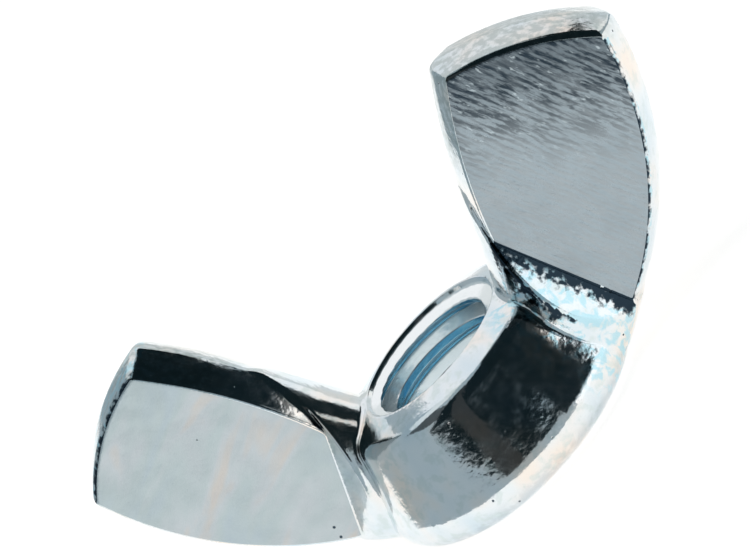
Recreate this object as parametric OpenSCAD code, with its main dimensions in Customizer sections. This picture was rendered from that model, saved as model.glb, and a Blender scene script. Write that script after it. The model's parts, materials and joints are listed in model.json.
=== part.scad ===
// Wing nut with square-ended wings, cold forged in one piece.
// Frame: +Z is the thread axis, pointing from the bearing face towards the wings.
// X runs along the wings and Y through their thickness.
// Origin: centre of the bearing face.

/* [Thread] */
// Nominal thread diameter
thread_d = 6; // [5.5:0.1:6]
// Thread pitch
thread_pitch = 1; // [0.8:0.05:1.25]
// Diameter of the countersink at both mouths of the thread
mouth_d = 6.5; // [6.1:0.05:6.6]
// Angle between the countersink wall and the thread axis
mouth_angle = 64; // [45:1:68]

/* [Barrel] */
// Height of the barrel from the bearing face to the lip of the mouth
barrel_h = 4.95; // [4.7:0.05:5.1]
// Largest diameter of the barrel, just above its base
barrel_d = 11.6; // [11.2:0.1:12.2]
// Radius of the round at the foot of the barrel
foot_round = 1.6; // [1.2:0.05:1.7]
// Diameter of the barrel at the outer edge of the rim
rim_d = 9.2; // [8.8:0.1:9.6]
// How far the rim slopes down from the mouth to its outer edge
rim_drop = 0.4; // [0.2:0.05:0.5]
// Radius of the round on the rim's outer edge
rim_round = 0.3; // [0.2:0.05:0.4]

/* [Wings] */
// Thickness of a wing across its two flats
wing_t = 3.1; // [2.8:0.1:3.4]
// Distance from the thread axis to the inner corner of a wing tip
tip_in_x = 7.6; // [7.2:0.1:8]
// Height of the inner corner of a wing tip
tip_in_z = 12.6; // [12.2:0.1:13]
// Distance from the thread axis to the outer corner of a wing tip
tip_out_x = 13.4; // [13:0.1:13.8]
// Height of the outer corner of a wing tip
tip_out_z = 9.45; // [9:0.05:9.8]
// Distance from the thread axis to the foot of a wing's inner edge
foot_in_x = 3.9; // [3.8:0.05:4]
// Height of the foot of a wing's inner edge
foot_in_z = 5.2; // [5.1:0.05:5.4]
// Distance from the thread axis to the foot of a wing's outer edge
foot_out_x = 7; // [6.8:0.05:7.2]
// Height of the foot of a wing's outer edge
foot_out_z = 1; // [0.9:0.05:1.1]
// Rise of the inner edge's curve above its chord
bow_in = 0.42; // [0.3:0.02:0.5]
// Rise of the outer edge's curve above its chord
bow_out = 1.12; // [1.06:0.02:1.2]
// Rise of the tip's curve above its chord
bow_tip = 0.58; // [0.4:0.02:0.7]

/* [Wing edges] */
// Setback of a flat from the blunt land that runs along each long edge
edge_draft = 0.58; // [0.4:0.02:0.7]
// Setback of the line where a long edge's gentle crown turns into its steep flank
edge_crown = 0.04; // [0.02:0.01:0.08]
// Setback of a flat from the end face of the tip
tip_draft = 0.16; // [0.12:0.02:0.24]
// Setback of the line where the end face's crown turns into its flank
tip_crown = 0.03; // [0.01:0.01:0.05]
// Thickness of the edge between the two lines where crown and flank meet
edge_mid = 0.8; // [0.75:0.05:1.2]
// Thickness of the blunt land along the middle of each edge
edge_land = 0.5; // [0.3:0.05:0.7]

/* [Necks] */
// Diameter of the round neck where it leaves the barrel
neck_d1 = 5; // [4.8:0.05:5.1]
// Diameter of the neck where the wing begins
neck_d2 = 6; // [5.8:0.05:6.1]
// Distance from the thread axis to the neck's centre line at its middle
neck_x = 5.44; // [5.3:0.02:5.6]
// Height of the neck's centre line at its middle
neck_z = 3.08; // [2.9:0.02:3.2]
// Angle of the neck's centre line above the bearing face
neck_angle = 56.6; // [54:0.2:59]
// Slope of the pressed step that rises from the flat to the round neck
step_slope = 48; // [42:1:55]
// Distance from the thread axis to the upper end of the front die's step
step_front_x = 4.95; // [4.8:0.05:5.1]
// Height of the upper end of the front die's step
step_front_z = 6.9; // [6.6:0.1:7.2]
// Lean of the front die's step from the thread axis
step_front_lean = 20.6; // [17:0.2:24]
// Distance from the thread axis to the upper end of the back die's step
step_back_x = 4.62; // [4.5:0.02:4.8]
// Height of the upper end of the back die's step
step_back_z = 5.6; // [5.3:0.1:5.9]
// Lean of the back die's step from the thread axis
step_back_lean = 28.5; // [25:0.5:31]

/* [Hidden] */
// Facets on every round face
$fn = 96;
// Facets on the round of the rim and of the barrel's foot
round_steps = 16;
right_angle = 90;
// Angle of a half turn, which carries one wing to the other side
half_turn = 180;
// Play added to cutting bodies so that no two faces coincide
over = 1;
// Reach of the bodies that bound a wing, larger than the whole nut
reach = 24;
// Bore through the crests of the thread, which is the size of its tapping drill
bore_d = thread_d - thread_pitch;
// Height of each countersink
mouth_h = (mouth_d - bore_d) / 2 / tan(mouth_angle);
// Corners of a wing's outline, as distance from the thread axis and height
tip_in = [tip_in_x, tip_in_z];
tip_out = [tip_out_x, tip_out_z];
foot_in = [foot_in_x, foot_in_z];
foot_out = [foot_out_x, foot_out_z];
// Length of the neck's body from its middle back into the barrel
neck_back = 2;
// Length of the neck's body from its middle out into the wing
neck_front = 3;
// Width that clears the neck on both sides
neck_span = 12;
// Inset of the upper end of the line inside the barrel where a wing's body ends
root_in = 0.6;
// Depth of that end below the foot of the wing's inner edge
root_sink = 0.9;
// Outset of that line's lower end
root_out = 0.85;
// Height of that line's lower end, which keeps the wing off the bearing face
root_floor = 0.1;
root_top = [foot_in_x - root_in, foot_in_z - root_sink];
root_low = [foot_in_x + root_out, root_floor];

// Radius of an arc with the chord c and the rise s
function arc_radius(c, s) = (c * c / 4 + s * s) / (2 * s);

// Centre of the arc from a to b, which bows to the left of the way from a to b
function arc_centre(a, b, s) =
    let (c = norm(b - a), u = (b - a) / c, left = [-u[1], u[0]])
    (a + b) / 2 - left * (arc_radius(c, s) - s);

// Points of a round with the centre c, from the angle a0 to the angle a1
function round_points(c, r, a0, a1) =
    [for (i = [0 : round_steps]) let (a = a0 + (a1 - a0) * i / round_steps) c + r * [cos(a), sin(a)]];

// Half of the barrel's outline, solid to its axis
module barrel_outline() {
    side_lean = atan2(barrel_d / 2 - rim_d / 2, barrel_h - rim_drop - foot_round);
    rim_lean = atan2(rim_drop, rim_d / 2 - mouth_d / 2);
    foot_c = [barrel_d / 2 - foot_round, foot_round];
    rim_c = [rim_d / 2 - rim_round, barrel_h - rim_drop - rim_round];
    polygon(concat(
        [[0, 0]],
        round_points(foot_c, foot_round, -right_angle, side_lean),
        round_points(rim_c, rim_round, side_lean, right_angle - rim_lean),
        [[mouth_d / 2, barrel_h], [0, barrel_h]]
    ));
}

module barrel_solid() {
    rotate_extrude() barrel_outline();
}

module bore_cut() {
    translate([0, 0, -over]) cylinder(d = bore_d, h = barrel_h + 2 * over);
    mouth_cut();
    translate([0, 0, barrel_h]) mirror([0, 0, 1]) mouth_cut();
}

// Countersink, carried a little past the face it opens on
module mouth_cut() {
    past = over * tan(mouth_angle);
    translate([0, 0, -over])
        cylinder(d1 = mouth_d + 2 * past, d2 = bore_d, h = mouth_h + over);
}

// Disc that bounds one edge of a wing: a blunt land, then on each side a gentle crown and a steep flank
module edge_disc(a, b, rise, draft, crown) {
    c = arc_centre(a, b, rise);
    r = arc_radius(norm(b - a), rise);
    translate([c[0], 0, c[1]]) rotate([right_angle, 0, 0]) rotate_extrude() polygon([
        [0, -wing_t / 2],
        [r - draft, -wing_t / 2],
        [r - crown, -edge_mid / 2],
        [r, -edge_land / 2],
        [r, edge_land / 2],
        [r - crown, edge_mid / 2],
        [r - draft, wing_t / 2],
        [0, wing_t / 2]
    ]);
}

// Body of one wing's blade, flat on both faces
module blade() {
    intersection() {
        edge_disc(foot_in, tip_in, bow_in, edge_draft, edge_crown);
        edge_disc(tip_out, foot_out, bow_out, edge_draft, edge_crown);
        edge_disc(tip_in, tip_out, bow_tip, tip_draft, tip_crown);
        root_side();
    }
}

// Everything outward of the line inside the barrel where a wing's body ends
module root_side() {
    rotate([right_angle, 0, 0]) linear_extrude(height = neck_span, center = true)
        polygon([root_low, [reach, root_low[1]], [reach, reach], [root_top[0], reach], root_top]);
}

// Everything on the hub's side of one die's pressed step, from a little past the middle plane outwards
module step_side(x, z, lean, side) {
    wide = wing_t / 2 + neck_span * tan(step_slope);
    translate([x, 0, z]) rotate([0, -lean, 0])
        linear_extrude(height = 2 * reach, center = true)
            polygon([
                [0, -side * over],
                [0, side * wing_t / 2],
                [-neck_span, side * wide],
                [-neck_span, -side * over]
            ]);
}

// The front die works on the face towards -Y and the back die on the other one
module both_steps() {
    step_side(step_front_x, step_front_z, step_front_lean, -1);
    step_side(step_back_x, step_back_z, step_back_lean, 1);
}

// Tapered rod that the neck is cut from
module neck_rod() {
    translate([neck_x, 0, neck_z]) rotate([0, right_angle - neck_angle, 0])
        translate([0, 0, -neck_back]) cylinder(d1 = neck_d1, d2 = neck_d2, h = neck_back + neck_front);
}

// Disc that keeps the neck inside the curve of the wing's outer edge
module under_disc() {
    c = arc_centre(tip_out, foot_out, bow_out);
    r = arc_radius(norm(tip_out - foot_out), bow_out);
    translate([c[0], 0, c[1]]) rotate([right_angle, 0, 0])
        cylinder(r = r, h = neck_span, center = true);
}

// Round neck between the barrel and the blade, ending in the two pressed steps
module neck() {
    intersection() {
        neck_rod();
        under_disc();
        root_side();
        both_steps();
    }
}

module wing() {
    difference() {
        union() {
            blade();
            neck();
        }
        barrel_solid();
    }
}

module hub() {
    color([0.72, 0.76, 0.79]) difference() {
        barrel_solid();
        bore_cut();
    }
}

module wing_right() {
    color([0.68, 0.73, 0.77]) wing();
}

module wing_left() {
    color([0.68, 0.73, 0.77]) rotate([0, 0, half_turn]) wing();
}

hub();
wing_left();
wing_right();
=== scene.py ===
import json
import math

import bpy
import numpy as np
from mathutils import Matrix, Vector


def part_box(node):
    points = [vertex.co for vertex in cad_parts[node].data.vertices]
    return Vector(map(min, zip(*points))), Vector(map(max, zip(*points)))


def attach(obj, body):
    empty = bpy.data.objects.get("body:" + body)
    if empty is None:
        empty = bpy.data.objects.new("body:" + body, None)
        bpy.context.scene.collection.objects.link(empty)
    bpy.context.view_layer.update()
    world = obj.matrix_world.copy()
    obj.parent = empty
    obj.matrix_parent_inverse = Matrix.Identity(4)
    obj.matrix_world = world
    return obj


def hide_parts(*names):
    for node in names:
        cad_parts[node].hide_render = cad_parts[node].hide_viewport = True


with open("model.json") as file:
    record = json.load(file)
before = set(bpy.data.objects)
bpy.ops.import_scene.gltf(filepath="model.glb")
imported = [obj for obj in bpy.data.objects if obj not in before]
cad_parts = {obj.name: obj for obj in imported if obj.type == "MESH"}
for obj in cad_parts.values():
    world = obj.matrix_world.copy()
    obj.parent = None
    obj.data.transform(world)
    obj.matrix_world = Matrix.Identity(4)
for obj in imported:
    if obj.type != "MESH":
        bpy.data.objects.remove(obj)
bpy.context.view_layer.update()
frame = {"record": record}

# ---------------------------------------------------------------- sizes, in millimetres, from the frame
MM = 1000.0
hub_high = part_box("hub")[1] * MM
wing_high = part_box("wing_right")[1] * MM
thread_mount = next(m for m in frame["record"]["mounts"] if m["name"] == "thread")

BARREL_R = hub_high.x
BARREL_H = hub_high.z
CREST_R = thread_mount["dims"]["r_mm"]
TIP_Z = wing_high.z

# Barrel
FOOT_ROUND = 1.6
RIM_R = 4.6
RIM_DROP = 0.4
RIM_ROUND = 0.3
# Thread and countersinks
PITCH = 1.0
THREAD_START = 0.1
ROOT_R = 3.02
MOUTH_R = 3.25
MOUTH_ANGLE = math.radians(32)
SINK_R = 3.12
SINK_ANGLE = math.radians(75)
LIP = 0.07
RING_R = 3.14
RING_GAP = 0.015
WALL_LOW = (MOUTH_R - RING_R) / math.tan(MOUTH_ANGLE)
TOOL_R = 3.55
SHAFT_INSET = 0.35
# Wings: corners as distance from the thread axis and height
WING_T = 3.1
TIP_IN = np.array([7.6, TIP_Z])
TIP_OUT = np.array([wing_high.x, 9.45])
FOOT_IN = np.array([3.9, 5.2])
FOOT_OUT = np.array([7.0, 1.0])
BOW_IN = 0.42
BOW_OUT = 1.12
BOW_TIP = 0.58
EDGE_DRAFT = 0.58
EDGE_CROWN = 0.04
TIP_DRAFT = 0.16
TIP_CROWN = 0.03
EDGE_LAND = 0.5
EDGE_MID = 0.8
# Necks
NECK_R1 = 2.5
NECK_R2 = 3.0
NECK_BACK = 2.0
NECK_FRONT = 3.0
NECK_MID = np.array([5.44, 3.08])
NECK_ANGLE = math.radians(56.6)
# The front die's step and the back die's step, each by its upper end and its lean
FRONT_TOP = np.array([4.95, 6.9])
FRONT_LEAN = math.radians(20.6)
BACK_TOP = np.array([4.62, 5.6])
BACK_LEAN = math.radians(28.5)
STEP_BEND = 0.06
BEND_REACH = 3.0
DIE_MEET = 1.2
STEP_SLOPE = math.radians(48)
NECK_END = np.array([7.0, 1.4])
END_LEAN = math.radians(14.8)
ROOT_TOP = np.array([3.3, 4.3])
ROOT_LOW = np.array([4.75, 0.1])

# Rounds and fillets
RIDGE_ROUND = 0.25
LONG_BLUNT = 0.3
TIP_BLUNT = 0.1
CORNER_IN_ROUND = 0.3
CORNER_OUT_ROUND = 0.22
FACE_ROUND = 0.08
FACE_TIP_ROUND = 0.26
UNDER_ROUND = 0.6
STEP_ROUND = 0.12
BASE_ROUND = 0.08
ROOT_FILLET = 0.16
NECK_FILLET = 0.07
# The neck's fillet grows by this much towards the middle plane of the wings
NECK_FILLET_MORE = 0.33
NECK_FILLET_FROM = 1.35
NECK_FILLET_TO = 0.85
# How far the outline of a flat's own material lies inside the rounded edges, the tip and the step
FLAT_INSET = 0.06
FLAT_TIP_INSET = 0.16
FLAT_STEP_INSET = 0.04
FLAT_SKIN = 0.2
# Dark marks along the dies' steps and edges, partly the dies' own marks and partly painted dark reflection
# and shade: values of the pressed attribute at each mark's line, and away from all of them
RIDGE_BASE = 0.1
RIM_BASE = 0.12
SIDE_BASE = 0.15
SIDE_FADE = 2.4
SIDE_END = 0.6
NO_MARK = 9.0
RIDGE_BAND = 0.12
MARK_CLEAR = 0.005

# Meshing: the grid's cell, and how far from the barrel and the axis the wings part from the hub
CELL = 0.09
SEAM = 0.35
SEAM_U = 4.25
WALL_COLUMNS = 180
WALL_ROWS_PER_TURN = 36
CREASE_REACH = 0.3


# ---------------------------------------------------------------- the forging as one signed distance
def round_max(a, b, r):
    """Intersection of two distances, with its edge rounded to the radius r."""
    u = np.maximum(a + r, 0)
    v = np.maximum(b + r, 0)
    return np.minimum(-r, np.maximum(a, b)) + np.hypot(u, v)


def round_min(a, b, r):
    """Union of two distances, with a fillet of the radius r."""
    return -round_max(-a, -b, r)


def step(low, high, x):
    t = np.clip((x - low) / (high - low), 0, 1)
    return t * t * (3 - 2 * t)


def arc(a, b, rise):
    """Centre and radius of the arc from a to b that bows to the left of the way from a to b."""
    chord = np.linalg.norm(b - a)
    left = np.array([a[1] - b[1], b[0] - a[0]]) / chord
    radius = (chord ** 2 / 4 + rise ** 2) / (2 * rise)
    return (a + b) / 2 - left * (radius - rise), radius


def barrel(x, y, z):
    r = np.hypot(x, y)
    lean = math.atan2(BARREL_R - RIM_R, BARREL_H - RIM_DROP - FOOT_ROUND)
    side = (r - BARREL_R) * math.cos(lean) + (z - FOOT_ROUND) * math.sin(lean)
    fall = math.atan2(RIM_DROP, RIM_R - MOUTH_R)
    top = (r - MOUTH_R) * math.sin(fall) + (z - BARREL_H) * math.cos(fall)
    return round_max(round_max(side, top, RIM_ROUND), -z, FOOT_ROUND)


def edge(u, y, z, centre, radius, draft, crown, blunt):
    """One edge of a blade: on each side a steep flank and then a gentle crown up to a rounded ridge."""
    out = np.hypot(u - centre[0], z - centre[1]) - radius
    gentle = math.atan2(crown, (EDGE_MID - EDGE_LAND) / 2)
    steep = math.atan2(draft - crown, (WING_T - EDGE_MID) / 2)
    top = out * math.cos(gentle) + (np.abs(y) - EDGE_LAND / 2) * math.sin(gentle)
    flank = (out + crown) * math.cos(steep) + (np.abs(y) - EDGE_MID / 2) * math.sin(steep)
    return round_max(round_max(flank, top, RIDGE_ROUND), out, blunt)


def inner_edge(u, y, z):
    return edge(u, y, z, *arc(FOOT_IN, TIP_IN, BOW_IN), EDGE_DRAFT, EDGE_CROWN, LONG_BLUNT)


def outer_edge(u, y, z):
    return edge(u, y, z, *arc(TIP_OUT, FOOT_OUT, BOW_OUT), EDGE_DRAFT, EDGE_CROWN, LONG_BLUNT)


def tip_edge(u, y, z):
    return edge(u, y, z, *arc(TIP_IN, TIP_OUT, BOW_TIP), TIP_DRAFT, TIP_CROWN, TIP_BLUNT)


def blade(u, y, z):
    """One wing's flat body, ending at a line inside the barrel."""
    inner = inner_edge(u, y, z)
    outer = outer_edge(u, y, z)
    tip = tip_edge(u, y, z)
    sides = round_max(inner, outer, CORNER_OUT_ROUND)
    corners = round_max(round_max(inner, tip, CORNER_IN_ROUND), outer, CORNER_OUT_ROUND)
    face = np.abs(y) - WING_T / 2
    body = np.maximum(round_max(sides, face, FACE_ROUND), round_max(tip, face, FACE_TIP_ROUND))
    body = np.maximum(body, corners)
    way = (ROOT_TOP - ROOT_LOW) / np.linalg.norm(ROOT_TOP - ROOT_LOW)
    root = -((u - ROOT_LOW[0]) * way[1] - (z - ROOT_LOW[1]) * way[0])
    return np.maximum(body, np.maximum(root, ROOT_LOW[1] - z))


def off_flat(x, y, z):
    """Negative on a wing's two flats and positive elsewhere, with zero just inside their outline."""
    u = np.abs(x)
    face = np.full_like(u, WING_T / 2)
    sides = np.maximum(inner_edge(u, face, z), outer_edge(u, face, z)) + FLAT_INSET
    ends = np.maximum(tip_edge(u, face, z) + FLAT_TIP_INSET, FLAT_STEP_INSET - past_step(x, y, z))
    return np.maximum(np.maximum(sides, ends), WING_T / 2 - FLAT_SKIN - np.abs(y))


def past_step(x, y, z):
    """Distance beyond the line where the pressed step meets the flat, which differs between the dies."""
    u = np.abs(x)
    near = step(-DIE_MEET, DIE_MEET, y * np.where(x < 0, -1.0, 1.0))
    front = past_line(u, z, FRONT_TOP, FRONT_LEAN)
    back = past_line(u, z, BACK_TOP, BACK_LEAN)
    return front * (1 - near) + back * near


def past_line(u, z, top, lean):
    return (u - top[0]) * math.cos(lean) + (z - top[1]) * math.sin(lean)


def neck_faces(x, y, z):
    """Distances from the neck's round rod, the ramp of its pressed step, and its end inside the barrel."""
    u = np.abs(x)
    along = (u - NECK_MID[0]) * math.cos(NECK_ANGLE) + (z - NECK_MID[1]) * math.sin(NECK_ANGLE)
    across = (u - NECK_MID[0]) * math.sin(NECK_ANGLE) - (z - NECK_MID[1]) * math.cos(NECK_ANGLE)
    radius = NECK_R1 + (NECK_R2 - NECK_R1) * (along + NECK_BACK) / (NECK_BACK + NECK_FRONT)
    rod = np.hypot(across, y) - radius
    out = past_step(x, y, z)
    bend = 1 + STEP_BEND * (z - NECK_MID[1]) * np.clip(-out, 0, BEND_REACH)
    ramp = (np.abs(y) - WING_T / 2) * math.cos(STEP_SLOPE) + out * bend * math.sin(STEP_SLOPE)
    return rod, ramp, -NECK_BACK - along


def neck(x, y, z):
    """The round neck under one blade, ending in the pressed steps."""
    u = np.abs(x)
    rod, ramp, behind = neck_faces(x, y, z)
    centre, bow = arc(TIP_OUT, FOOT_OUT, BOW_OUT)
    under = np.hypot(u - centre[0], z - centre[1]) - bow
    body = round_max(round_max(rod, under, UNDER_ROUND), ramp, STEP_ROUND)
    past = (u - NECK_END[0]) * math.cos(END_LEAN) + (z - NECK_END[1]) * math.sin(END_LEAN)
    return np.maximum(body, np.maximum(behind, np.maximum(past, ROOT_LOW[1] - z)))


def pressed(x, y, z):
    """Distance from the dark marks, partly the dies' own marks and partly painted dark reflection and
    shade, or NO_MARK away from them.
    """
    u = np.abs(x)
    face = np.full_like(u, WING_T / 2)
    tip = tip_edge(u, face, z)
    outer = outer_edge(u, face, z)
    rod, ramp, _ = neck_faces(x, y, z)
    # both sides of the front step's ramp, and under the neck's ridge: painted shade and dark reflection,
    # partly the die's mark
    front = (x * y < 0) & (np.abs(y) > WING_T / 2 + MARK_CLEAR)
    under_ridge = (np.abs(rod) < RIDGE_BAND) & (rod > ramp)
    ridge = RIDGE_BASE + np.where(under_ridge, -ramp * 0.55 + 0.5 * step(3.4, 2.2, z), NO_MARK)
    step_mark = np.where(front, np.minimum(-past_step(x, y, z), ridge), NO_MARK)
    # rim of the left wing's end face: a painted dark reflection
    rim = RIM_BASE + np.maximum(tip + FLAT_TIP_INSET, 0) + 0.8 * np.maximum(WING_T / 2 - np.abs(y), 0)
    # outer edge of the right wing's front flat, between its step and its tip: a painted dark reflection
    side = SIDE_BASE + SIDE_FADE * np.maximum(outer + FLAT_INSET, 0)
    on_blade = (past_step(x, y, z) > 0) & (tip < -0.2)
    beside_flat = (x * y < 0) & (x > 0) & (outer > -0.07) & on_blade
    side = np.where(beside_flat & (side < SIDE_END), side, NO_MARK)
    return np.where((x < 0) & (tip > -0.17), rim, np.minimum(step_mark, side))


# Large primes that scatter the numbers of a lattice
HASH_X = 73856093
HASH_Y = 19349663
HASH_Z = 83492791
HASH_SEED = 2654435761
HASH_MIX = 1274126177
# Keeps the lattice's numbers above zero
LATTICE_OFFSET = 500


def lattice(ix, iy, iz, seed):
    """A fixed random number from -1 to 1 for each point of a whole-number lattice."""
    n = ix * HASH_X ^ iy * HASH_Y ^ iz * HASH_Z ^ seed * HASH_SEED
    n = (n ^ (n >> 13)) * HASH_MIX & 0x7FFFFFFF
    n = (n ^ (n >> 16)) & 0xFFFF
    return n / (0xFFFF / 2) - 1


def waves(x, y, z, size, seed):
    """Smooth noise from -1 to 1 with features about size across."""
    p = [np.asarray(c, float) / size + LATTICE_OFFSET for c in (x, y, z)]
    i = [np.floor(c).astype(np.int64) for c in p]
    t = [c - k for c, k in zip(p, i)]
    t = [k * k * (3 - 2 * k) for k in t]
    total = 0
    for dx in (0, 1):
        for dy in (0, 1):
            for dz in (0, 1):
                weight = 1
                for k, d in zip(t, (dx, dy, dz)):
                    weight = weight * (k if d else 1 - k)
                total = total + weight * lattice(i[0] + dx, i[1] + dy, i[2] + dz, seed)
    return total


def forging(x, y, z):
    """The whole nut with its two mouths but no thread, and with a forging's slight unevenness."""
    u = np.abs(x)
    fillet = NECK_FILLET + NECK_FILLET_MORE * step(NECK_FILLET_FROM, NECK_FILLET_TO, np.abs(y))
    wing = round_min(blade(u, y, z), neck(x, y, z), fillet)
    solid = round_min(barrel(x, y, z), wing, ROOT_FILLET)
    uneven = 0.014 * waves(x, y, z, 2.6, 3) + 0.006 * waves(x, y, z, 0.9, 7)
    # the bearing face stays true
    uneven = uneven * step(0.0, 0.6, z)
    solid = round_max(solid + uneven, -z, BASE_ROUND)
    flare = math.tan(MOUTH_ANGLE)
    level = np.minimum(z, BARREL_H - z)
    sink = (np.hypot(x, y) - MOUTH_R + level * flare) * math.cos(MOUTH_ANGLE)
    sink = np.maximum(sink, np.hypot(x, y) - TOOL_R)
    shaft = np.hypot(x, y) - ROOT_R + SHAFT_INSET
    return round_max(solid, -np.minimum(sink, shaft), LIP)


# ---------------------------------------------------------------- the bore
def bore_radius(angle, z):
    """Radius of the threaded hole at an angle and a height: the thread, or the countersink where wider."""
    phase = (z - PITCH * angle / (2 * math.pi)) / PITCH + THREAD_START
    off = np.abs(phase - np.round(phase)) * PITCH
    thread = ROOT_R - (off - PITCH / 16) * math.sqrt(3)
    thread = np.clip(thread, CREST_R, ROOT_R)
    level = np.minimum(z, BARREL_H - z)
    wall = MOUTH_R - level * math.tan(MOUTH_ANGLE)
    floor = SINK_R - (level - (MOUTH_R - SINK_R) / math.tan(MOUTH_ANGLE)) * math.tan(SINK_ANGLE)
    return np.maximum(thread, np.minimum(wall, floor))


def hole(x, y, z):
    """Negative in the metal around the bore and positive in the hole."""
    return bore_radius(np.arctan2(y, x), z) - np.hypot(x, y)


def gradient(field, p, e=0.012):
    g = np.empty_like(p)
    for k in range(3):
        d = np.zeros(3)
        d[k] = e
        a, b = p + d, p - d
        g[:, k] = (field(*a.T) - field(*b.T)) / (2 * e)
    return g


def unit(v):
    return v / np.maximum(np.linalg.norm(v, axis=1), 1e-12)[:, None]


# ---------------------------------------------------------------- meshing
def surface_net(field, low, high, cell):
    """Closed quad mesh of the zero set of field, with its points moved onto that set."""
    axes = [np.arange(a, b + cell, cell) for a, b in zip(low, high)]
    nx, ny, nz = (len(a) for a in axes)
    value = np.empty((nx, ny, nz), np.float32)
    Y, Z = np.meshgrid(axes[1], axes[2], indexing="ij")
    for i in range(nx):
        value[i] = field(np.full_like(Y, axes[0][i]), Y, Z)
    inside = value < 0
    total = np.zeros((nx - 1, ny - 1, nz - 1, 3), np.float32)
    count = np.zeros((nx - 1, ny - 1, nz - 1), np.int8)
    corner = [(i, j, k) for i in (0, 1) for j in (0, 1) for k in (0, 1)]

    def part(a, c):
        return a[c[0]:nx - 1 + c[0], c[1]:ny - 1 + c[1], c[2]:nz - 1 + c[2]]

    for a in corner:
        for axis in range(3):
            if a[axis]:
                continue
            b = tuple(v + (1 if n == axis else 0) for n, v in enumerate(a))
            va, vb = part(value, a), part(value, b)
            cross = (va < 0) != (vb < 0)
            t = np.where(cross, va / np.where(cross, va - vb, 1), 0)
            for n in range(3):
                total[..., n] += cross * (a[n] + (t if n == axis else 0))
            count += cross
    used = count > 0
    index = np.full(count.shape, -1, np.int64)
    index[used] = np.arange(used.sum())
    base = np.argwhere(used)
    points = (base + total[used] / count[used][:, None]) * cell + [a[0] for a in axes]
    quads = []
    for axis in range(3):
        one, two = [n for n in range(3) if n != axis]
        low_i = [slice(1, -1)] * 3
        low_i[axis] = slice(0, -1)
        high_i = [slice(1, -1)] * 3
        high_i[axis] = slice(1, None)
        cross = inside[tuple(low_i)] != inside[tuple(high_i)]
        at = np.argwhere(cross)
        at[:, one] += 1
        at[:, two] += 1
        ring = []
        for da, db in ((1, 1), (0, 1), (0, 0), (1, 0)):
            c = at.copy()
            c[:, one] -= da
            c[:, two] -= db
            ring.append(index[c[:, 0], c[:, 1], c[:, 2]])
        ring = np.stack(ring, 1)
        out = inside[at[:, 0], at[:, 1], at[:, 2]]
        if axis == 1:
            out = ~out
        ring[~out] = ring[~out][:, ::-1]
        quads.append(ring)
    quads = np.concatenate(quads)
    return settle(field, points, cell), quads


def settle(field, points, cell, rounds=4, least_slope=0.05):
    """Moves points onto the zero set of field, by at most half a cell each time."""
    for _ in range(rounds):
        g = gradient(field, points)
        f = field(*points.T)
        move = -f[:, None] * g / np.maximum((g * g).sum(1), least_slope)[:, None]
        longest = np.linalg.norm(move, axis=1)
        points = points + move * np.minimum(1, 0.5 * cell / np.maximum(longest, 1e-9))[:, None]
    return points


def to_triangles(quads):
    return np.concatenate([quads[:, [0, 1, 2]], quads[:, [0, 2, 3]]])


def cut(points, faces, value):
    """Splits triangles along value = 0. Returns the points, the faces above zero and the faces below."""
    value = np.where(np.abs(value) < 1e-7, 1e-7, value)
    above = value > 0
    kinds = above[faces].sum(1)
    keep_up, keep_down = faces[kinds == 3], faces[kinds == 0]
    mixed = faces[(kinds == 1) | (kinds == 2)]
    lone = np.where((above[mixed].sum(1) == 1)[:, None], above[mixed], ~above[mixed]).argmax(1)
    rows = np.arange(len(mixed))
    a, b, c = (mixed[rows, (lone + k) % 3] for k in range(3))

    pairs = np.sort(np.concatenate([np.stack([a, b], 1), np.stack([a, c], 1)]), axis=1)
    unique, back = np.unique(pairs, axis=0, return_inverse=True)
    back = back.reshape(-1)
    t = value[unique[:, 0]] / (value[unique[:, 0]] - value[unique[:, 1]])
    extra = points[unique[:, 0]] * (1 - t)[:, None] + points[unique[:, 1]] * t[:, None]
    ab, ac = back[:len(mixed)] + len(points), back[len(mixed):] + len(points)
    tri = np.stack([a, ab, ac], 1)
    far = np.concatenate([np.stack([ab, b, c], 1), np.stack([ab, c, ac], 1)])
    lone_up = above[a]
    far_up = np.concatenate([lone_up, lone_up])
    up = np.concatenate([keep_up, tri[lone_up], far[~far_up]])
    down = np.concatenate([keep_down, tri[~lone_up], far[far_up]])
    return np.concatenate([points, extra]), up, down


def open_edges(faces):
    e = np.concatenate([faces[:, [0, 1]], faces[:, [1, 2]], faces[:, [2, 0]]])
    s = np.sort(e, axis=1)
    _, first, count = np.unique(s, axis=0, return_index=True, return_counts=True)
    return e[first[count == 1]]


def loops(edges):
    """Closed loops of directed edges, each as a list of point numbers."""
    following = dict(edges.tolist())
    found = []
    while following:
        start, here = following.popitem()
        loop = [start]
        while here != start:
            loop.append(here)
            here = following.pop(here)
        found.append(loop)
    return found


def cap(points, faces):
    """Closes every hole in faces with a fan to its middle."""
    for loop in loops(open_edges(faces)):
        middle = points[loop].mean(0)
        points = np.concatenate([points, middle[None]])
        n = len(points) - 1
        ring = np.array(loop)
        fan = np.stack([np.roll(ring, -1), ring, np.full(len(ring), n)], 1)
        faces = np.concatenate([faces, fan])
    return points, faces


def weld(points, faces, within=2e-4):
    key = np.round(points / within).astype(np.int64)
    _, first, back = np.unique(key, axis=0, return_index=True, return_inverse=True)
    faces = back.reshape(-1)[faces]
    good = (faces[:, 0] != faces[:, 1]) & (faces[:, 1] != faces[:, 2]) & (faces[:, 2] != faces[:, 0])
    return points[first], faces[good]


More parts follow.
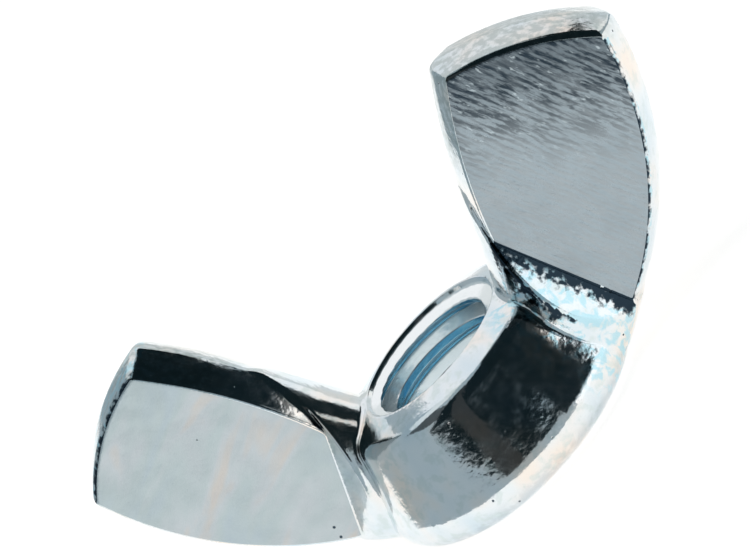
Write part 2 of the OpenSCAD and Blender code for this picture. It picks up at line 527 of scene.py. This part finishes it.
def bore_wall():
    """The threaded hole's wall between the two lips, as points and triangles."""
    angle = np.linspace(-math.pi, math.pi, WALL_COLUMNS + 1)
    turns = math.ceil((BARREL_H + 2 * PITCH) / PITCH) + 1
    down = np.arange(turns * WALL_ROWS_PER_TURN + 1) * PITCH / WALL_ROWS_PER_TURN
    # rows follow the helix and stay in step with the thread's own corners
    top = (round((BARREL_H + PITCH) / PITCH + THREAD_START) - THREAD_START) * PITCH
    z = top + PITCH * angle[None] / (2 * math.pi) - down[:, None]
    z = np.clip(z, WALL_LOW, BARREL_H - WALL_LOW)
    r = bore_radius(np.broadcast_to(angle, z.shape), z)
    points = np.stack([r * np.cos(angle), r * np.sin(angle), z], -1).reshape(-1, 3)
    i, j = np.meshgrid(np.arange(len(down) - 1), np.arange(WALL_COLUMNS), indexing="ij")
    a = (i * (WALL_COLUMNS + 1) + j).ravel()
    b = a + 1
    d = a + WALL_COLUMNS + 1
    return points, to_triangles(np.stack([a, b, d + 1, d], 1))


def zip_rings(points, outer, inner, flip):
    """Triangles between two closed rings that both run round the Z axis."""
    def from_start(ring):
        ring = np.asarray(ring)
        x, y = points[ring, 0], points[ring, 1]
        if (x * np.roll(y, -1) - y * np.roll(x, -1)).sum() < 0:
            ring = ring[::-1]
        ring = np.roll(ring, -np.argmin(np.arctan2(points[ring, 1], points[ring, 0])))
        angle = np.unwrap(np.arctan2(points[ring, 1], points[ring, 0]))
        return np.append(ring, ring[0]), np.append(angle, angle[0] + 2 * math.pi)

    o, oa = from_start(outer)
    i, ia = from_start(inner)
    faces, a, b = [], 0, 0
    while a < len(o) - 1 or b < len(i) - 1:
        if b == len(i) - 1 or (a < len(o) - 1 and oa[a + 1] <= ia[b + 1]):
            faces.append((o[a], o[a + 1], i[b]))
            a += 1
        else:
            faces.append((o[a], i[b + 1], i[b]))
            b += 1
    faces = np.array(faces)
    return faces[:, ::-1] if flip else faces


def build_meshes():
    margin = 3 * CELL
    low = np.array([-wing_high.x, -BARREL_R, 0]) - margin
    high = np.array([wing_high.x, BARREL_R, TIP_Z]) + margin
    points, quads = surface_net(forging, low, high, CELL)
    faces = to_triangles(quads)
    # the disc inside each lip gives way to the bore
    near_axis = np.hypot(points[:, 0], points[:, 1]) - RING_R - RING_GAP
    points, faces, _ = cut(points, faces, near_axis)
    # necks and blades part from the hub a little way out from the barrel
    away = np.minimum(barrel(*points.T) - SEAM, np.abs(points[:, 0]) - SEAM_U)
    points, outer, inner = cut(points, faces, away)
    parts = {}
    for name, side in (("wing_right", 1), ("wing_left", -1)):
        mine = outer[points[outer].mean(1)[:, 0] * side > 0]
        parts[name] = cap(points, mine)
    wall_points, wall_faces = bore_wall()
    offset = len(points)
    hub_points = np.concatenate([points, wall_points])
    hub_faces = np.concatenate([inner, wall_faces + offset])
    hub_points, hub_faces = weld(hub_points, hub_faces)
    # of the open rings, those round the axis are the mouths, and the others are the seams to the wings
    rings = [np.array(ring) for ring in loops(open_edges(hub_faces))]
    mouths = [ring for ring in rings if abs(hub_points[ring, 0].mean()) < CREST_R / 2]
    for top in (True, False):
        pair = [ring for ring in mouths if (hub_points[ring, 2].mean() > BARREL_H / 2) == top]
        pair.sort(key=len)
        strip = zip_rings(hub_points, pair[1], pair[0], not top)
        hub_faces = np.concatenate([hub_faces, strip])
    parts["hub"] = cap(hub_points, hub_faces)
    return parts


def is_bore(p):
    slack = 0.01
    deep = (p[:, 2] > WALL_LOW - slack) & (p[:, 2] < BARREL_H - WALL_LOW + slack)
    return (np.hypot(p[:, 0], p[:, 1]) < RING_R + slack) & deep


def make_piece(name, points, faces, materials):
    """A smooth mesh object with one material for its edges, one for its flats and one for its bore."""
    points, open_faces, flat_faces = cut(points, faces, off_flat(*points.T))
    faces = np.concatenate([open_faces, flat_faces])
    used, back = np.unique(faces, return_inverse=True)
    points, faces = points[used], back.reshape(-1, 3)
    mesh = bpy.data.meshes.new(name)
    mesh.vertices.add(len(points))
    mesh.vertices.foreach_set("co", (points / MM).astype(np.float32).ravel())
    mesh.loops.add(faces.size)
    mesh.loops.foreach_set("vertex_index", faces.astype(np.int32).ravel())
    mesh.polygons.add(len(faces))
    mesh.polygons.foreach_set("loop_start", np.arange(0, faces.size, 3, dtype=np.int32))
    for m in materials:
        mesh.materials.append(m)
    middle = points[faces].mean(1)
    on_flat = np.arange(len(faces)) >= len(open_faces)
    in_bore = is_bore(middle)
    slot = np.where(on_flat, 1, np.where(in_bore, 2, 0)).astype(np.int32)
    mesh.polygons.foreach_set("material_index", slot)
    mesh.update(calc_edges=True)
    mesh.validate()
    bore = is_bore(points)
    normals = unit(gradient(forging, points))
    if bore.any():
        normals[bore] = unit(gradient(hole, points[bore], 0.02))
    # how hollow each point is, which sets the painted shade in the folds
    gap = forging(*(points + normals * CREASE_REACH).T)
    gap[bore] = CREASE_REACH
    keep = {
        "crease_shade": np.clip(1 - gap / CREASE_REACH, 0, 1),
        "pressed": pressed(*points.T),
    }
    for label, value in keep.items():
        mesh.attributes.new(label, "FLOAT", "POINT").data.foreach_set("value", value.astype(np.float32))
    mesh.polygons.foreach_set("use_smooth", np.ones(len(faces), bool))
    mesh.normals_split_custom_set_from_vertices(normals)
    piece = bpy.data.objects.new(name, mesh)
    bpy.context.collection.objects.link(piece)
    return piece


# ---------------------------------------------------------------- materials
class Graph:
    """Short-hand for building one node material. Lengths inside it are in millimetres."""

    def __init__(self, name):
        self.material = bpy.data.materials.new(name)
        self.material.use_nodes = True
        self.tree = self.material.node_tree
        self.shader = self.tree.nodes["Principled BSDF"]
        self.last_bump = None
        place = self.tree.nodes.new("ShaderNodeTexCoord").outputs["Object"]
        self.mm = self.vector("SCALE", place, scale=MM)

    def node(self, kind, settings=None, **inputs):
        n = self.tree.nodes.new("ShaderNode" + kind)
        for key, value in (settings or {}).items():
            setattr(n, key, value)
        for key, value in inputs.items():
            self.set(n.inputs[key.replace("_", " ")], value)
        return n

    def set(self, socket, value):
        if isinstance(value, bpy.types.NodeSocket):
            self.tree.links.new(value, socket)
        else:
            socket.default_value = value

    def vector(self, kind, a, b=None, scale=None):
        n = self.tree.nodes.new("ShaderNodeVectorMath")
        n.operation = kind
        self.set(n.inputs[0], a)
        if b is not None:
            self.set(n.inputs[1], b)
        if scale is not None:
            self.set(n.inputs["Scale"], scale)
        return n.outputs["Vector"]

    def math(self, kind, a, b=0.0, c=0.0):
        n = self.tree.nodes.new("ShaderNodeMath")
        n.operation = kind
        for socket, value in zip(n.inputs, (a, b, c)):
            self.set(socket, value)
        return n.outputs["Value"]

    def noise(self, scale, detail=3.0, where=None, rough=0.5, warp=0.0):
        n = self.node("TexNoise", Vector=where or self.mm, Scale=scale, Detail=detail,
                      Roughness=rough, Distortion=warp)
        return n.outputs["Fac"]

    def stretched(self, angle, along, across):
        """Coordinates turned in the plane of the wings and scaled unevenly, for scratches."""
        n = self.node("Mapping", {"vector_type": "TEXTURE"}, Vector=self.mm, Rotation=(0, angle, 0))
        return self.vector("MULTIPLY", n.outputs["Vector"], (along, 1.0, across))

    def range(self, value, a, b, c, d):
        n = self.node("MapRange", {"interpolation_type": "SMOOTHSTEP"}, Value=value)
        for key, x in zip(("From Min", "From Max", "To Min", "To Max"), (a, b, c, d)):
            n.inputs[key].default_value = x
        return n.outputs["Result"]

    def mix(self, factor, a, b):
        n = self.tree.nodes.new("ShaderNodeMix")
        n.data_type = "RGBA"
        self.set(n.inputs[0], factor)
        for socket, value in zip((n.inputs[6], n.inputs[7]), (a, b)):
            self.set(socket, value if isinstance(value, bpy.types.NodeSocket) else (*value, 1))
        return n.outputs[2]

    def ramp(self, value, stops):
        n = self.node("ValToRGB", Fac=value)
        points = n.color_ramp.elements
        while len(points) < len(stops):
            points.new(0.5)
        for point, (at, colour) in zip(points, stops):
            point.position = at
            point.color = (*colour, 1)
        return n.outputs["Color"]

    def pits(self, scale, size, share):
        """1 inside scattered round pits and 0 elsewhere."""
        n = self.node("TexVoronoi", Vector=self.mm, Scale=scale)
        near = self.range(n.outputs["Distance"], size * 0.6, size, 1.0, 0.0)
        pick = self.node("SeparateColor", Color=n.outputs["Color"]).outputs[0]
        return self.math("MULTIPLY", near, self.math("LESS_THAN", pick, share))

    def kept(self, label):
        """A value that make_piece stored on the mesh's points."""
        return self.node("Attribute", {"attribute_name": label}).outputs["Fac"]

    def bump(self, height, depth):
        """Adds a bump on top of the ones before it."""
        n = self.node("Bump", Height=height, Distance=depth / MM)
        if self.last_bump:
            self.set(n.inputs["Normal"], self.last_bump)
        self.last_bump = n.outputs["Normal"]

    def finish(self, colour, rough):
        self.shader.inputs["Metallic"].default_value = 1
        self.set(self.shader.inputs["Base Color"], colour)
        self.set(self.shader.inputs["Roughness"], rough)
        self.set(self.shader.inputs["Normal"], self.last_bump)
        return self.material


PALE = (0.80, 0.85, 0.87)
BLUE = (0.66, 0.77, 0.83)
TEAL = (0.70, 0.80, 0.80)
WARM = (0.90, 0.82, 0.74)
ROSE = (0.82, 0.79, 0.82)
MOSS = (0.60, 0.70, 0.68)
LICHEN = (0.40, 0.46, 0.45)
SATIN = (0.20, 0.25, 0.28)
# dark of the pits, and of the painted shade in the folds
SHADE_AND_PIT_DARK = (0.06, 0.09, 0.12)
CYAN = (0.42, 0.72, 0.82)
# near-black of the streaks, and of the painted dark reflection and shade along the dies' marks
SHADE_AND_STREAK_DARK = (0.02, 0.035, 0.05)
# pale of the painted glints
GLINT_PALE = (0.80, 0.92, 0.96)
# the thread's colours by facing: pale painted lit copies for the flanks, and blue with painted shade for
# the roots
LIT_UNDER_FLANK = (0.86, 0.94, 0.97)
SHADED_ROOT_BLUE = (0.24, 0.56, 0.74)
CREST_BLUE = (0.20, 0.50, 0.68)
LIT_UPPER_FLANK = (0.97, 1.0, 1.0)
# Spacing of the brushed lines, and the directions of their fine and coarse streaks
HATCH = 0.22
FINE_ANGLE = math.radians(69)
COARSE_ANGLE = math.radians(66)
CLOUD_ANGLE = math.radians(-25)


def zinc_gloss():
    """Bright zinc of the barrel, the necks and the wings' edges, duller and mottled towards the tips."""
    g = Graph("zinc_gloss")
    tint = g.ramp(g.noise(0.45, 2.0), [(0.3, BLUE), (0.5, PALE), (0.7, WARM)])
    tint = g.mix(g.range(g.noise(2.2, 4.0), 0.5, 0.66, 0.0, 0.45), tint, MOSS)
    height = g.node("SeparateXYZ", Vector=g.mm).outputs["Z"]
    dull = g.math("MULTIPLY", g.range(height, 8.6, 10.4, 0.0, 0.75),
                  g.range(g.noise(3.5, 5.0), 0.36, 0.6, 0.25, 1.0))
    tint = g.mix(dull, tint, LICHEN)
    pit = g.pits(1.7, 0.09, 0.25)
    tint = g.mix(pit, tint, SHADE_AND_PIT_DARK)
    # painted shade in the folds of the forging: darker where the surface is hollow
    fold = g.math("MULTIPLY", g.range(g.kept("crease_shade"), 0.12, 0.45, 0.0, 1.0),
                  g.range(g.noise(3.0, 3.0), 0.3, 0.55, 0.35, 1.0))
    tint = g.mix(fold, tint, SHADE_AND_PIT_DARK)
    # patches of blue passivation near the dies' marks
    patch = g.math("MULTIPLY", g.range(g.kept("pressed"), 2.2, 3.0, 1.0, 0.0),
                   g.range(g.noise(2.6, 5.0, warp=0.4), 0.46, 0.6, 0.0, 0.75))
    tint = g.mix(patch, tint, CYAN)
    # painted dark reflection and shade along those marks, partly the dies' own marks, with a ragged edge
    ragged = g.math("ADD", g.kept("pressed"), g.range(g.noise(4.0, 4.0), 0.3, 0.7, -0.17, 0.17))
    tint = g.mix(g.range(ragged, 0.2, 0.44, 1.0, 0.0), tint, SHADE_AND_STREAK_DARK)
    g.bump(g.noise(1.6, 2.0), 0.006)
    g.bump(g.noise(3.6, 1.5), 0.005)
    g.bump(g.noise(10.0, 2.0), 0.0016)
    g.bump(g.math("SUBTRACT", 1.0, pit), 0.03)
    return g.finish(tint, g.range(g.noise(2.5), 0.3, 0.7, 0.06, 0.13))


def zinc_cloudy():
    """Satin zinc of the left wing's flats, with faint clouds of colour."""
    g = Graph("zinc_cloudy")
    bands = g.noise(0.45, 3.0, g.stretched(CLOUD_ANGLE, 0.35, 1.3), warp=0.5)
    tint = g.ramp(bands, [(0.36, BLUE), (0.5, TEAL), (0.6, PALE), (0.68, WARM), (0.78, ROSE)])
    tint = g.mix(0.47, tint, SATIN)
    pit = g.pits(1.2, 0.08, 0.3)
    tint = g.mix(pit, tint, SHADE_AND_PIT_DARK)
    g.bump(g.noise(2.2, 5.0), 0.02)
    g.bump(g.noise(16.0, 2.0), 0.005)
    g.bump(g.math("SUBTRACT", 1.0, pit), 0.03)
    return g.finish(tint, g.range(g.noise(1.1), 0.3, 0.7, 0.28, 0.38))


def zinc_brushed():
    """Zinc of the right wing's flats, with slanting lines that darken towards the tip."""
    g = Graph("zinc_brushed")
    turned = g.stretched(FINE_ANGLE, 1.0, 1.0)
    lines = g.math("MULTIPLY", g.node("SeparateXYZ", Vector=turned).outputs["Z"], 2 * math.pi / HATCH)
    lines = g.math("SINE", g.math("ADD", lines, g.math("MULTIPLY", g.noise(0.9, 2.0), 9.0)))
    fine = g.noise(1.0, 3.0, g.stretched(FINE_ANGLE, 1.7, 9.0), rough=0.6, warp=0.15)
    fine = g.math("ADD", fine, g.math("MULTIPLY", lines, 0.07))
    coarse = g.noise(1.0, 3.0, g.stretched(COARSE_ANGLE, 0.7, 2.0), rough=0.6, warp=0.3)
    place = g.node("SeparateXYZ", Vector=g.mm)
    along = g.math("ADD", g.math("MULTIPLY", place.outputs["X"], math.cos(NECK_ANGLE)),
                   g.math("MULTIPLY", place.outputs["Z"], math.sin(NECK_ANGLE)))
    tip = g.range(along, 10.2, 14.0, 0.12, 0.95)
    streak = g.math("MULTIPLY", g.range(fine, 0.38, 0.62, 0.15, 1.0),
                    g.range(coarse, 0.34, 0.56, 0.6, 1.0))
    tint = g.mix(g.range(fine, 0.3, 0.7, 0.0, 1.0), BLUE, PALE)
    tint = g.mix(0.66, tint, SATIN)
    tint = g.mix(g.math("MULTIPLY", streak, tip), tint, SHADE_AND_STREAK_DARK)
    tint = g.mix(g.range(along, 12.4, 14.8, 0.0, 0.5), tint, SHADE_AND_STREAK_DARK)
    # painted glints along the fine lines, towards the tip
    painted_glint = g.math("MULTIPLY", g.range(g.noise(1.0, 2.0, g.stretched(FINE_ANGLE, 3.0, 9.0)),
                                       0.64, 0.74, 0.0, 0.4), tip)
    tint = g.mix(painted_glint, tint, GLINT_PALE)
    g.bump(fine, 0.03)
    g.bump(g.noise(9.0, 2.0), 0.008)
    return g.finish(tint, g.range(g.noise(0.8), 0.3, 0.7, 0.24, 0.34))


def zinc_thread():
    """Colour by which way the surface faces: the flanks are painted pale as lit copies, and the crests and
    roots blue, partly the passivation's colour and partly painted shade.
    """
    g = Graph("zinc_thread")
    lift = g.node("SeparateXYZ", Vector=g.node("TexCoord").outputs["Normal"]).outputs["Z"]
    lift = g.math("ADD", lift, g.range(g.noise(3.0, 3.0), 0.2, 0.8, -0.12, 0.12))
    # painted light by facing: up-facing flanks pale as if lit from above, down-facing flanks pale as lit
    # copies, roots blue with painted shade
    tint = g.ramp(g.range(lift, -1.0, 1.0, 0.0, 1.0),
                  [(0.05, LIT_UNDER_FLANK), (0.25, SHADED_ROOT_BLUE), (0.7, CREST_BLUE), (0.86, LIT_UPPER_FLANK)])
    g.bump(g.noise(5.0, 3.0), 0.006)
    g.finish(tint, g.range(g.noise(3.0), 0.3, 0.7, 0.08, 0.16))
    g.shader.inputs["Metallic"].default_value = 0.8
    return g.material


gloss = zinc_gloss()
cloudy = zinc_cloudy()
brushed = zinc_brushed()
thread = zinc_thread()

# ---------------------------------------------------------------- pieces
parts = build_meshes()
for node, (points, faces) in parts.items():
    flats = brushed if node == "wing_right" else cloudy
    piece = make_piece(node + "_forged", points, faces, [gloss, flats, thread])
    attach(piece, "root")
    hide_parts(node)


# ---------------------------------------------------------------- floor, light and camera
def glow(name, colour, strength):
    m = bpy.data.materials.new(name)
    m.use_nodes = True
    nodes = m.node_tree.nodes
    nodes.remove(nodes["Principled BSDF"])
    light = nodes.new("ShaderNodeEmission")
    light.inputs["Color"].default_value = (*colour, 1)
    light.inputs["Strength"].default_value = strength
    m.node_tree.links.new(light.outputs[0], nodes["Material Output"].inputs["Surface"])
    return m


def way(azimuth, elevation):
    """Direction from the nut: azimuth 0 is towards -Y and 90 towards +X."""
    a, e = math.radians(azimuth), math.radians(elevation)
    return np.array([math.sin(a) * math.cos(e), -math.cos(a) * math.cos(e), math.sin(e)])


def panel(name, distance, azimuths, elevations, colour, strength):
    """A curved studio panel seen only in reflections, placed by a distance in metres and by degrees."""
    columns = 24
    rows = 12
    a = np.linspace(*azimuths, columns + 1)
    e = np.linspace(*elevations, rows + 1)
    points = [tuple(way(x, y) * distance) for y in e for x in a]
    quads = [(i * (columns + 1) + j, i * (columns + 1) + j + 1, (i + 1) * (columns + 1) + j + 1,
              (i + 1) * (columns + 1) + j) for i in range(rows) for j in range(columns)]
    mesh = bpy.data.meshes.new(name)
    mesh.from_pydata(points, [], quads)
    mesh.materials.append(glow(name, colour, strength))
    card = bpy.data.objects.new(name, mesh)
    bpy.context.collection.objects.link(card)
    card.visible_camera = False
    card.visible_diffuse = False
    card.visible_shadow = False


def paper_floor():
    """A plain pale floor at the height of the bearing face."""
    reach = 2.0
    mesh = bpy.data.meshes.new("floor")
    corners = [(-reach, -reach, 0), (reach, -reach, 0), (reach, reach, 0), (-reach, reach, 0)]
    mesh.from_pydata(corners, [], [(0, 1, 2, 3)])
    floor = bpy.data.objects.new("floor", mesh)
    bpy.context.collection.objects.link(floor)
    paper = bpy.data.materials.new("paper")
    paper.use_nodes = True
    sheet = paper.node_tree.nodes["Principled BSDF"]
    sheet.inputs["Base Color"].default_value = (0.50, 0.47, 0.45, 1)
    sheet.inputs["Roughness"].default_value = 0.9
    sheet.inputs["Emission Color"].default_value = (1, 0.99, 0.98, 1)
    sheet.inputs["Emission Strength"].default_value = 0.76
    mesh.materials.append(paper)


def studio_world():
    world = bpy.data.worlds.new("studio")
    bpy.context.scene.world = world
    world.use_nodes = True
    background = world.node_tree.nodes["Background"]
    background.inputs["Color"].default_value = (0.78, 0.92, 1.0, 1)
    background.inputs["Strength"].default_value = 0.46


def soft_light(name, azimuth, elevation, distance, size, power):
    """A round soft lamp that isn't seen in reflections."""
    data = bpy.data.lights.new(name, "AREA")
    data.shape = "DISK"
    data.size = size
    data.energy = power
    lamp = bpy.data.objects.new(name, data)
    bpy.context.collection.objects.link(lamp)
    spot = Vector(way(azimuth, elevation) * distance)
    lamp.location = spot
    lamp.rotation_euler = spot.to_track_quat("Z", "Y").to_euler()
    lamp.visible_glossy = False


def studio_camera(aim, distance, azimuth, elevation, roll, lens):
    """A camera that looks at a point and is rolled round its own axis, in millimetres and degrees."""
    data = bpy.data.cameras.new("camera")
    data.sensor_width = 36
    data.lens = lens
    data.clip_start = 0.002
    camera = bpy.data.objects.new("camera", data)
    bpy.context.collection.objects.link(camera)
    back = Vector(way(azimuth, elevation))
    level = Vector(way(azimuth + 90, 0))
    right = Matrix.Rotation(math.radians(roll), 3, back) @ level
    turn = Matrix((right, back.cross(right), back)).transposed().to_4x4()
    camera.matrix_world = Matrix.Translation((Vector(aim) + back * distance) / MM) @ turn
    bpy.context.scene.camera = camera


NAVY = (0.40, 0.80, 1.0)
COOL = (0.80, 0.93, 1.0)
MILK = (0.95, 0.99, 1.0)
SOFT_WHITE = (0.98, 0.98, 1.0)
WHITE = (1.0, 1.0, 1.0)
# Dark flags, which the polished faces mirror as black bands
panel("flag_front", 0.60, (-37, 132), (19, 80), NAVY, 0.018)
panel("flag_low", 0.60, (48, 86), (12, 19), NAVY, 0.018)
panel("flag_right", 0.60, (86, 132), (12.5, 19), NAVY, 0.018)
panel("flag_neck", 0.58, (132, 151), (24, 46), NAVY, 0.018)
panel("flag_left", 0.60, (-90, -37), (48, 72), COOL, 0.10)
panel("strip_front", 0.55, (-12, 5), (16, 78), COOL, 0.045)
# White cards
panel("card_right", 0.60, (58, 112), (-3, 8.9), WHITE, 1.2)
panel("card_right_high", 0.60, (87, 115), (9, 12.3), WHITE, 1.2)
panel("card_right_back", 0.60, (133, 146), (8, 24), WHITE, 1.0)
panel("card_back", 0.60, (146, 214), (-3, 22), MILK, 0.75)
panel("card_back_high", 0.60, (146, 214), (22, 84), SOFT_WHITE, 0.95)
panel("card_top", 0.60, (-160, -92), (54, 80), MILK, 0.8)

paper_floor()
studio_world()
soft_light("overhead", azimuth=-60, elevation=72, distance=0.9, size=0.7, power=2.8)
studio_camera(aim=(0.66, 0, 8.28), distance=76.08,
              azimuth=19.11, elevation=16.57, roll=-48.22, lens=101.7)
bpy.context.scene.view_settings.view_transform = "Standard"
